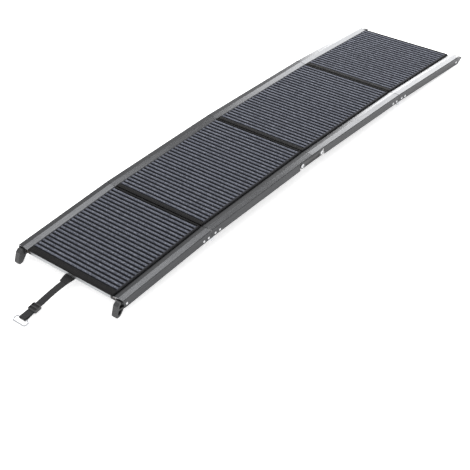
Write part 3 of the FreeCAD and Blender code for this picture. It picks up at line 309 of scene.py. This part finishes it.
def tread_material():
    """Needled carpet: grey-blue flecked ribs, and near-black grooves that are partly the pile's own
    darker colour and partly painted shade.
    """
    s = Shader("tread_pile")
    flecks = s.noise(520.0, detail=4.0, stretch=(1, 0.45, 1), rough=0.7)
    tufts = s.noise(150.0, detail=3.0, stretch=(1, 0.4, 1), rough=0.6)
    broad = s.noise(9.0, detail=2.0)
    light = s.ramp(flecks, [(0.34, (0.030, 0.033, 0.045)), (0.50, (0.105, 0.113, 0.143)),
                            (0.64, (0.255, 0.268, 0.315))])
    light = s.mix(s.ramp(tufts, [(0.35, 0.45), (0.60, 0.0)]), light, (0.020, 0.023, 0.034))
    # Groove colour: the pile's darker tone pushed to near-black, which is painted shade in the
    # grooves.
    dark = s.ramp(flecks, [(0.35, (0.001, 0.0012, 0.002)), (0.65, (0.004, 0.005, 0.009))])
    pile = s.mix(s.ramp(s.attribute("groove_dye_and_shade"), [(0.12, 0.0), (0.48, 1.0)]), light, dark)
    pile = s.mix(s.ramp(broad, [(0.3, 0.12), (0.7, 0.0)]), pile, (0.05, 0.05, 0.06))
    border = s.ramp(flecks, [(0.3, (0.010, 0.010, 0.012)), (0.7, (0.026, 0.026, 0.029))])
    s.colour(s.mix(s.attribute("border"), pile, border))
    s.bump(s.math("ADD", flecks, tufts), 0.0006)
    s.roughness(flecks, 0.85, 1.0)
    return s.set(Sheen_Weight=0.08, Sheen_Roughness=0.6, Specular_IOR_Level=0.08).material


def strip_material():
    """Dark pressed textile binding with a fine twill."""
    s = Shader("binding")
    yarn = s.noise(700.0, detail=3.0, stretch=(0.5, 1, 1))
    twill = s.math("MULTIPLY", s.wave(420.0, "DIAGONAL"), 0.6)
    s.colour(s.ramp(yarn, [(0.3, (0.006, 0.006, 0.0065)), (0.7, (0.018, 0.0175, 0.018))]))
    s.bump(s.math("ADD", twill, yarn), 0.00018)
    s.roughness(yarn, 0.6, 0.8)
    return s.set(Sheen_Weight=0.02, Specular_IOR_Level=0.08).material


def profile_material():
    """Satin aluminium channel, brushed along its length."""
    s = Shader("channel_aluminium")
    brush = s.noise(1100.0, detail=2.0, stretch=(1, 0.02, 1))
    s.colour(s.ramp(brush, [(0.3, (0.30, 0.31, 0.32)), (0.7, (0.44, 0.45, 0.46))]))
    s.roughness(brush, 0.32, 0.48)
    return s.bump(brush, 0.00003).set(Metallic=1.0).material


def steel_material(name, dark, light, rough, stretch):
    """Bright steel with fine grinding lines and a little tarnish."""
    s = Shader(name)
    lines = s.noise(1400.0, detail=2.0, stretch=stretch)
    tarnish = s.noise(90.0, detail=3.0)
    metal = s.ramp(lines, [(0.3, dark), (0.7, light)])
    s.colour(s.mix(s.ramp(tarnish, [(0.5, 0.0), (0.8, 0.35)]), metal, tuple(0.5 * c for c in dark)))
    s.roughness(tarnish, rough, rough + 0.14)
    return s.bump(lines, 0.00002).set(Metallic=1.0).material


def plastic_material(name, dark, light, rough, grain, depth):
    """Moulded plastic with a spark-eroded grain and faintly uneven colour."""
    s = Shader(name)
    cells = s.noise(grain, detail=3.0)
    clouds = s.noise(40.0, detail=2.0)
    s.colour(s.ramp(clouds, [(0.3, dark), (0.7, light)]))
    s.roughness(cells, rough, rough + 0.15)
    return s.bump(cells, depth).material


def webbing_material(name, dark, light):
    """Woven polyester tape: crossed yarns with a slight shine."""
    s = Shader(name)
    yarns = s.noise(1300.0, detail=2.0, stretch=(1, 0.35, 1))
    rows = s.wave(330.0, "Y")
    cloth = s.ramp(yarns, [(0.3, dark), (0.7, light)])
    s.colour(s.mix(s.math("MULTIPLY", rows, 0.3), cloth, tuple(0.4 * c for c in dark)))
    s.bump(s.math("ADD", yarns, rows), 0.00010)
    s.roughness(yarns, 0.55, 0.75)
    return s.set(Sheen_Weight=0.08, Sheen_Roughness=0.4, Specular_IOR_Level=0.25).material


def foam_material():
    """Closed-cell foam with tiny open pores."""
    s = Shader("grip_foam")
    cells = s.add("ShaderNodeTexVoronoi")
    cells.inputs["Scale"].default_value = 900.0
    s.link(s.place, cells.inputs["Vector"])
    cloud = s.noise(120.0)
    s.colour(s.ramp(cloud, [(0.3, (0.014, 0.014, 0.015)), (0.7, (0.030, 0.030, 0.032))]))
    s.bump(s.math("ADD", cells.outputs["Distance"], cloud), 0.00025)
    s.roughness(cloud, 0.8, 0.95)
    return s.material


def chrome_material():
    """Polished plated wire with faint handling marks."""
    s = Shader("plated_wire")
    marks = s.noise(260.0, detail=4.0)
    s.colour(s.ramp(marks, [(0.3, (0.36, 0.37, 0.39)), (0.7, (0.52, 0.53, 0.55))]))
    s.roughness(marks, 0.06, 0.20)
    return s.bump(marks, 0.00002).set(Metallic=1.0).material


def repaint(prefixes, material, bevel=0.0):
    """Give every CAD node whose name starts so this material, and a small bevel if asked."""
    for name, node in NODES.items():
        if not name.startswith(prefixes):
            continue
        for place in node.material_slots:
            place.material = material
        if bevel:
            soften = node.modifiers.new("soft edges", "BEVEL")
            soften.width = bevel
            soften.segments = 2
            soften.limit_method = "ANGLE"
            soften.angle_limit = math.radians(40)
            soften.harden_normals = True


# ---- mesh helpers --------------------------------------------------------------------------
def new_piece(name, vertices, faces, material, body):
    """A smooth-shaded mesh that moves with a body."""
    mesh = bpy.data.meshes.new(name)
    mesh.from_pydata([tuple(v) for v in vertices], [], faces)
    mesh.validate()
    mesh.polygons.foreach_set("use_smooth", [True] * len(mesh.polygons))
    mesh.materials.append(material)
    piece = bpy.data.objects.new(name, mesh)
    bpy.context.scene.collection.objects.link(piece)
    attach(piece, body)
    return piece


def grid_faces(rows, columns):
    """Faces of a grid of vertices, seen from above."""
    faces = []
    for i in range(rows - 1):
        for j in range(columns - 1):
            a = i * columns + j
            faces.append((a + columns, a + columns + 1, a + 1, a))
    return faces


def ring_faces(rings, around):
    """Faces of a tube made of equal rings of vertices, with flat caps."""
    faces = []
    for i in range(rings - 1):
        for j in range(around):
            k = (j + 1) % around
            here, above = i * around, (i + 1) * around
            faces.append((here + j, here + k, above + k, above + j))
    faces.append(tuple(range(around))[::-1])
    faces.append(tuple((rings - 1) * around + j for j in range(around)))
    return faces


class Section:
    """A section's own directions, read from its tread slab in CAD, which is tilted about Y."""

    def __init__(self, number):
        mesh = NODES[f"tread_{number}"].data
        places = sorted({(round(v.co.x, 6), round(v.co.z, 6)) for v in mesh.vertices})
        near = sorted(places[:2], key=lambda p: p[1])
        far = sorted(places[-2:], key=lambda p: p[1])
        self.body = f"section_{number}"
        self.corner = np.array(near[0])
        run = np.array(far[0]) - self.corner
        self.length = float(np.hypot(*run))
        self.along = run / self.length
        self.up = np.array((-self.along[1], self.along[0]))
        self.thick = float(np.hypot(*(np.array(near[1]) - self.corner)))
        self.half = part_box(f"tread_{number}")[1][1]

    def at(self, u, v, h):
        """Places in the row frame from distances along, across and above the slab's bottom."""
        u, v, h = np.broadcast_arrays(u, v, h)
        x = self.corner[0] + u * self.along[0] + h * self.up[0]
        z = self.corner[1] + u * self.along[1] + h * self.up[1]
        return np.stack([x, v, z], -1)

    def along_of(self, x):
        """Distance along the slab of a place x in the row frame."""
        return (x - self.corner[0]) / self.along[0]


def slab_piece(name, section, u, v, height, material, attributes=()):
    """Closed slab over a grid: u along, v across, height above the slab's bottom."""
    rows, columns = len(u), len(v)
    top = section.at(u[:, None], v[None, :], height).reshape(-1, 3)
    rim = [i * columns for i in range(rows)]
    rim += [(rows - 1) * columns + j for j in range(1, columns)]
    rim += [i * columns + columns - 1 for i in range(rows - 2, -1, -1)]
    rim += list(range(columns - 2, 0, -1))
    flat = section.at(np.repeat(u, columns)[rim], np.tile(v, rows)[rim], 0.0)
    base = rows * columns
    faces = grid_faces(rows, columns)
    for k, corner in enumerate(rim):
        after = (k + 1) % len(rim)
        faces.append((corner, rim[after], base + after, base + k))
    faces.append(tuple(base + k for k in range(len(rim))))
    piece = new_piece(name, np.vstack([top, flat]), faces, material, section.body)
    for key, values in attributes:
        data = piece.data.attributes.new(key, "FLOAT", "POINT").data
        data.foreach_set("value", np.concatenate([values.reshape(-1), values.reshape(-1)[rim]]))
    return piece


def smooth_step(x):
    """From 0 to 1 without a kink at either end."""
    x = np.clip(x, 0.0, 1.0)
    return x * x * (3 - 2 * x)


def round_over(distance, radius):
    """How far a rounded edge lies below the surface at this distance from the edge."""
    inside = np.clip(radius - distance, 0.0, radius)
    return radius - np.sqrt(radius ** 2 - inside ** 2)


def edge_spaced(low, high, step, near):
    """Even steps between low and high, with finer ones near both ends."""
    fine = np.array(near)
    middle = np.linspace(low + fine[-1], high - fine[-1], int((high - low) / step) + 2)[1:-1]
    return np.concatenate([low + fine, middle, (high - fine)[::-1]])


# ---- tread mats and their bindings ---------------------------------------------------------
def make_tread(number, material, rng):
    """Ribbed carpet over the whole tread, with plain borders along both sides."""
    section = Section(number)
    ribs = round(section.length / RIB_PITCH)
    u = np.linspace(0, section.length, ribs * RIB_STEPS + 1)
    v = edge_spaced(-section.half, section.half, PILE_STEP, EDGE_STEPS)
    from_middle = np.abs(2 * ((u * ribs / section.length) % 1.0) - 1)
    rib = np.sqrt(np.clip(1 - (from_middle / RIB_FILL) ** 2, 0, 1)) ** RIB_FULLNESS
    side = section.half - np.abs(v)
    shown = smooth_step((side - BORDER_START) / BORDER)
    tufts = rng.normal(0.0, 1.0, (len(u), len(v)))
    tufts = (tufts + np.roll(tufts, 1, 0) + np.roll(tufts, 1, 1)) / 3
    grooves = (1 - rib)[:, None] * shown[None, :]
    height = section.thick - RIB_DEPTH * grooves - PILE_ROUGH
    height = height + PILE_ROUGH * np.clip(tufts, -TUFT_LIMIT, TUFT_LIMIT) * TUFT_SHARE
    height = height - round_over(side, SIDE_ROUND)[None, :]
    border = np.broadcast_to(1 - shown[None, :], height.shape)
    # The groove mask also goes to the material, where it paints the grooves near-black: partly the
    # pile's colour, partly painted shade.
    piece = slab_piece(
        f"carpet_{number}", section, u, v, height, material,
        (("groove_dye_and_shade", grooves), ("border", border)),
    )
    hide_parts(f"tread_{number}")


def make_bindings(number, material, rng):
    """The two pressed bindings across the ends of a tread, as one piece each."""
    section = Section(number)
    low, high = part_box(f"edge_strips_{number}")
    spans = {
        "near": (section.along_of(low[0]) + STRIP_END_GAP, -STRIP_GAP),
        "far": (section.length + STRIP_GAP, section.along_of(high[0]) - STRIP_END_GAP),
    }
    for side, (start, end) in spans.items():
        u = edge_spaced(start, end, STRIP_STEP, EDGE_STEPS[:5])
        v = edge_spaced(-section.half, section.half, STRIP_CROSS_STEP, EDGE_STEPS)
        edge_u = np.minimum(u - start, end - u)
        edge_v = section.half - np.abs(v)
        outer = u - start if side == "near" else end - u
        seam = SEAM_DEPTH * np.exp(-((outer - SEAM_IN) / SEAM_WIDTH) ** 2)
        ripple = RIPPLE * rng.normal(0.0, 1.0, (len(u), len(v)))
        ripple = np.clip(ripple, -RIPPLE_LIMIT, RIPPLE_LIMIT)
        height = section.thick - STRIP_SUNK - seam[:, None] + ripple
        height = height - round_over(edge_u, STRIP_ROUND)[:, None]
        height = height - round_over(edge_v, SIDE_ROUND)[None, :]
        height = np.maximum(height, STRIP_LEAST)
        piece = slab_piece(f"binding_{number}_{side}", section, u, v, height, material)
    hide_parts(f"edge_strips_{number}")


# ---- strap ---------------------------------------------------------------------------------
def nurbs_line(route):
    """Points along the smooth line of a route given as (x, z) in the strap's plane."""
    data = bpy.data.curves.new("route", "CURVE")
    data.dimensions = "3D"
    data.resolution_u = 24
    spline = data.splines.new("NURBS")
    spline.points.add(len(route) - 1)
    for point, (x, z) in zip(spline.points, route):
        point.co = (x, STRAP_Y, z, 1.0)
    spline.order_u = 3
    spline.use_endpoint_u = True
    holder = bpy.data.objects.new("route", data)
    bpy.context.scene.collection.objects.link(holder)
    bpy.context.view_layer.update()
    sampled = bpy.data.meshes.new_from_object(holder)
    line = np.array([v.co for v in sampled.vertices])
    bpy.data.objects.remove(holder)
    bpy.data.meshes.remove(sampled)
    return line


def resampled(points, step):
    """The same (x, z) line with even steps, and the distance of each point along it."""
    points = np.array(points)
    runs = np.hypot(*np.diff(points, axis=0).T)
    reach = np.concatenate([[0], np.cumsum(runs)])
    s = np.linspace(0, reach[-1], int(reach[-1] / step) + 1)
    return np.stack([np.interp(s, reach, points[:, k]) for k in (0, 1)], -1), s


def ribbon(name, line, width, thick, middle_y, material, body, columns=TAPE_COLUMNS):
    """Woven tape along an (x, z) line; width is a number or a function of the distance."""
    line, s = resampled(line, WEAVE_PITCH / 4)
    way = np.gradient(line, axis=0)
    way /= np.hypot(*way.T)[:, None]
    up = np.stack([-way[:, 1], way[:, 0]], -1)
    if way[0, 0] < 0:
        up = -up
    across = np.linspace(-1, 1, columns)
    full = width(s) if callable(width) else np.full(len(s), width)
    from_edge = (1 - np.abs(across))[None, :] * full[:, None] / 2
    body_thick = thick / 2 - round_over(from_edge, thick / 2) * TAPE_EDGE
    cross = np.where(np.arange(columns) % 2, math.pi, 0.0)
    yarn = WEAVE_DEPTH * np.sin(2 * math.pi * s[:, None] / WEAVE_PITCH + cross[None, :])
    rise = body_thick - WEAVE_DEPTH + yarn
    y = middle_y + across[None, :] * full[:, None] / 2
    rings = []
    for sign, order in ((1, slice(None)), (-1, slice(None, None, -1))):
        x = line[:, 0:1] + sign * up[:, 0:1] * rise
        z = line[:, 1:2] + sign * up[:, 1:2] * rise
        rings.append(np.stack([x, y, z], -1)[:, order])
    rings = np.concatenate(rings, 1)
    vertices = rings.reshape(-1, 3)
    return new_piece(name, vertices, ring_faces(len(s), 2 * columns), material, body)


def strap_path(line):
    """The tape's own path: along the line, through the adjuster, round the ring and back."""
    seat = np.array(RING_AXIS)
    tilt = math.radians(STRAP_TILT)
    way = np.array((math.cos(tilt), math.sin(tilt)))
    up = np.array((-way[1], way[0]))

    def at(reach, rise):
        return seat + way * reach + up * rise

    start = line[0] - line[1]
    climb = ADJUSTER_NEAR + CLIMB_START
    leave = ADJUSTER_FAR - LOOP_START
    path = [line[0] + start / np.linalg.norm(start) * TAPE_LEAD]
    path += [point for point in line if (point - seat) @ way > climb + CLIMB_GAP]
    for reach in np.linspace(climb, leave, 30):
        share = smooth_step((climb - reach) / CLIMB_LENGTH)
        path.append(at(reach, LAYER_RISE * float(share)))
    lean = math.asin((LOOP_RADIUS - LAYER_RISE) / ADJUSTER_FAR)
    for angle in np.linspace(math.pi / 2 - lean, 1.5 * math.pi + lean, 40):
        path.append(at(LOOP_RADIUS * math.cos(angle), LOOP_RADIUS * math.sin(angle)))
    path += [at(leave, -LAYER_RISE), at(ADJUSTER_MIDDLE - TAPE_END_GAP, -LAYER_RISE)]
    return np.array(path)


def beads(name, places, material, body):
    """Short rounded stitches: each place is (middle, direction), both as 3 numbers."""
    vertices, faces = [], []
    around, rings = STITCH_AROUND, STITCH_RINGS
    length, thick = STITCH_SIZE
    for middle, way in places:
        way = Vector(way).normalized()
        side = way.orthogonal().normalized()
        other = way.cross(side)
        start = len(vertices)
        for i in range(rings):
            t = -math.cos(math.pi * (i + 0.35) / (rings - 0.3))
            radius = thick / 2 * math.sqrt(max(0.05, 1 - t * t))
            centre = Vector(middle) + way * (t * length / 2)
            for j in range(around):
                a = 2 * math.pi * j / around
                off = side * (radius * math.cos(a)) + other * (radius * math.sin(a))
                vertices.append(centre + off)
        faces += [tuple(start + k for k in face) for face in ring_faces(rings, around)]
    return new_piece(name, vertices, faces, material, body)


def tab_place(section, x, z):
    """Row frame (x, z) of a place measured from the board's free edge and the deck plane."""
    place = section.at(x - TREAD_FIRST, 0.0, z - TREAD_BOTTOM)
    return np.array((place[0], place[2]))


def tab_width(s):
    return TAB_ROOT + (TAB_TIP - TAB_ROOT) * smooth_step((s - TAB_IN) / TAB_OUT)


def make_tab(section, cloth):
    """The upper and the lower layer of the tab."""
    layers = []
    for side, lift in (("upper", TAB_LAYER_RISE), ("lower", -TAB_LAYER_RISE)):
        path = [tab_place(section, x, TAB_MIDDLE - fall + lift) for x, fall in TAB_BEND]
        name = f"tab_{side}"
        layer = ribbon(name, path, tab_width, TAB_LAYER, 0.0, cloth, section.body, TAB_COLUMNS)
        layers.append(layer)
    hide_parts("strap_tab")
    return layers


def make_stitches(section, thread):
    """Two rows of stitches along the tab and one across its tip."""
    along = (section.along[0], 0, section.along[1])
    top = TAB_MIDDLE + STITCH_RISE
    sewn = []
    for side in (-1, 1):
        for k in range(SIDE_STITCHES):
            fall = TAB_FALL * (k + 1) / SIDE_FALL_STEPS
            x, z = tab_place(section, SIDE_START - SIDE_PITCH * k, top - fall)
            y = side * (SIDE_Y - SIDE_TAPER * (k / (SIDE_STITCHES - 1)))
            sewn.append(((x, y, z), along))
    for k in range(END_STITCHES):
        x, z = tab_place(section, END_X, top - TAB_FALL * END_FALL)
        sewn.append(((x, END_Y + END_PITCH * k, z), (0, 1, 0)))
    stitches = beads("tab_stitches", sewn, thread, section.body)
    return stitches


def make_strap(tab_cloth, tape, thread):
    section = Section(1)
    line = nurbs_line(STRAP_ROUTE)
    path = strap_path(line[:, [0, 2]])
    strap = ribbon("tether_tape", path, STRAP_WIDTH, STRAP_THICK, STRAP_Y, tape, section.body)
    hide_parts("strap_webbing", "strap_loop")

    layers = make_tab(section, tab_cloth)
    stitches = make_stitches(section, thread)


# ---- handle grip ---------------------------------------------------------------------------
def stadium(half_width, half_thick, count):
    """Flat oval around the origin, as (x, z)."""
    points = []
    shift = half_width - half_thick
    for k in range(count):
        a = 2 * math.pi * k / count
        x = math.copysign(shift, math.cos(a)) + half_thick * math.cos(a)
        points.append((x, half_thick * math.sin(a)))
    return np.array(points)


def make_grip(material):
    """Soft sleeve around the handle tube, rounded at both ends."""
    low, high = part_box("handle_grip")
    middle = (low + high) / 2
    half_width = (high[0] - low[0]) / 2 - GRIP_GAP[0]
    half_thick = (high[2] - low[2]) / 2 - GRIP_GAP[1]
    half = high[1]
    inset = [(half_thick - GRIP_BORE, half - GRIP_END_GAP)]
    for k in range(GRIP_ROUND_STEPS + 1):
        a = math.pi / 2 * k / GRIP_ROUND_STEPS
        inset.append((GRIP_ROUND * (1 - math.sin(a)), half - GRIP_ROUND * (1 - math.cos(a))))
    inset += [(0.0, y) for y in np.linspace(half - GRIP_ROUND - 0.002, 0, GRIP_LENGTH_STEPS)]
    profile = inset + [(d, -y) for d, y in inset[-2::-1]]
    vertices = []
    for shrink, y in profile:
        swell = GRIP_SWELL * math.sin(y * GRIP_WAVES[0]) * math.sin(y * GRIP_WAVES[1])
        outline = stadium(half_width - shrink + swell, half_thick - shrink + swell, GRIP_AROUND)
        vertices += [(middle[0] + x, y, middle[2] + z) for x, z in outline]
    faces = ring_faces(len(profile), GRIP_AROUND)
    grip = new_piece("foam_grip", vertices, faces, material, "bridge")
    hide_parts("handle_grip")


# ---- camera, light and floor ---------------------------------------------------------------
def make_camera():
    turn, drop = math.radians(CAMERA_TURN), math.radians(CAMERA_DROP)
    ahead = Vector((
        math.sin(turn) * math.cos(drop),
        math.cos(turn) * math.cos(drop),
        -math.sin(drop),
    ))
    data = bpy.data.cameras.new("camera")
    data.lens = CAMERA_LENS
    data.sensor_width = SENSOR_WIDTH
    data.clip_start, data.clip_end = 0.05, 60.0
    camera = bpy.data.objects.new("camera", data)
    camera.location = CAMERA_PLACE
    camera.rotation_mode = "QUATERNION"
    roll = Quaternion(ahead, math.radians(CAMERA_ROLL))
    camera.rotation_quaternion = roll @ ahead.to_track_quat("-Z", "Y")
    bpy.context.scene.collection.objects.link(camera)
    bpy.context.scene.camera = camera


def area_light(name, place, target, size, power):
    """A white panel that lights its target and isn't seen by the camera."""
    data = bpy.data.lights.new(name, "AREA")
    data.shape = "RECTANGLE"
    data.size, data.size_y = size
    data.energy = power
    light = bpy.data.objects.new(name, data)
    light.location = place
    light.rotation_mode = "QUATERNION"
    light.rotation_quaternion = (Vector(target) - Vector(place)).to_track_quat("-Z", "Y")
    light.visible_camera = False
    bpy.context.scene.collection.objects.link(light)


def make_light():
    world = bpy.data.worlds.new("studio")
    world.use_nodes = True
    background = world.node_tree.nodes["Background"]
    background.inputs["Color"].default_value = (1.0, 1.0, 1.0, 1.0)
    background.inputs["Strength"].default_value = WORLD_STRENGTH
    bpy.context.scene.world = world
    bpy.context.scene.view_settings.view_transform = "Standard"
    for light in LIGHTS:
        area_light(*light)


def floor_material():
    """Pale glowing paper, clear from below so that the underside can be looked at."""
    floor = Shader("floor_paper")
    mottle = floor.noise(3.0)
    floor.colour(floor.ramp(mottle, [(0.3, (0.90, 0.90, 0.90)), (0.7, (0.93, 0.93, 0.93))]))
    floor.set(Roughness=0.9, Emission_Color=(1.0, 1.0, 1.0, 1.0), Emission_Strength=FLOOR_GLOW)
    below = floor.add("ShaderNodeNewGeometry").outputs["Backfacing"]
    swap = floor.add("ShaderNodeMixShader")
    clear = floor.add("ShaderNodeBsdfTransparent")
    floor.link(below, swap.inputs[0])
    floor.link(floor.surface.outputs[0], swap.inputs[1])
    floor.link(clear.outputs[0], swap.inputs[2])
    floor.link(swap.outputs[0], floor.tree.nodes["Material Output"].inputs["Surface"])
    return floor.material


def make_floor():
    signs = ((-1, -1), (1, -1), (1, 1), (-1, 1))
    corners = [(x * FLOOR_REACH, y * FLOOR_REACH, FLOOR_HEIGHT) for x, y in signs]
    mesh = bpy.data.meshes.new("floor")
    mesh.from_pydata(corners, [], [(0, 1, 2, 3)])
    mesh.materials.append(floor_material())
    ground = bpy.data.objects.new("floor", mesh)
    bpy.context.scene.collection.objects.link(ground)


# ---- the whole scene -----------------------------------------------------------------------
def make_soft_pieces():
    """The strap, the carpets with their bindings, and the grip."""
    tape = webbing_material("tape_yarn", (0.010, 0.010, 0.0105), (0.038, 0.038, 0.040))
    tab_cloth = webbing_material("tab_yarn", (0.007, 0.007, 0.0075), (0.024, 0.024, 0.025))
    thread = webbing_material("sewing_thread", (0.05, 0.05, 0.05), (0.12, 0.12, 0.12))
    make_strap(tab_cloth, tape, thread)
    pile = tread_material()
    binding = strip_material()
    for number in (1, 2, 3, 4):
        rng = np.random.default_rng(SEED + number)
        make_tread(number, pile, rng)
        make_bindings(number, binding, rng)
    make_grip(foam_material())


# starts of node names, material's name, dark and light tone, roughness, stretch of the lines
STEELS = [
    (("hinge_leaf", "bridge_lug", "strap_plate"), "zinc_plate",
     (0.45, 0.46, 0.48), (0.66, 0.67, 0.69), 0.22, (0.1, 1, 1)),
    (("rivets", "front_fold", "rear_fold", "bridge_bolts"), "bright_steel",
     (0.40, 0.41, 0.42), (0.60, 0.60, 0.61), 0.14, (1, 1, 1)),
    (("handle_screws", "strap_screws"), "screw_steel",
     (0.40, 0.40, 0.41), (0.60, 0.60, 0.62), 0.25, (1, 1, 1)),
    (("handle_tube",), "handle_anodised",
     (0.46, 0.47, 0.48), (0.60, 0.61, 0.62), 0.30, (1, 0.02, 1)),
]
# starts of node names, bevel, material's name, dark and light tone, roughness, grain and its depth
PLASTICS = [
    (("bridge_block",), 0.0006, "bridge_black",
     (0.020, 0.020, 0.021), (0.034, 0.034, 0.036), 0.34, 900.0, 0.00005),
    (("hook_foot", "wedge_foot"), 0.0006, "foot_plastic",
     (0.016, 0.016, 0.017), (0.030, 0.030, 0.032), 0.20, 1100.0, 0.00005),
    (("slide_adjuster",), 0.0007, "adjuster_black",
     (0.012, 0.012, 0.012), (0.024, 0.024, 0.025), 0.16, 700.0, 0.00002),
]


def paint_cad():
    """Materials for the CAD pieces that stay in view."""
    repaint(("rail_",), rail_material())
    repaint(("board_",), board_material())
    repaint(("front_edge", "rear_edge"), profile_material())
    for prefixes, *look in STEELS:
        repaint(prefixes, steel_material(*look))
    for prefixes, bevel, *look in PLASTICS:
        repaint(prefixes, plastic_material(*look), bevel)
    repaint(("carabiner",), chrome_material())


make_camera()
make_soft_pieces()
paint_cad()
make_light()
make_floor()
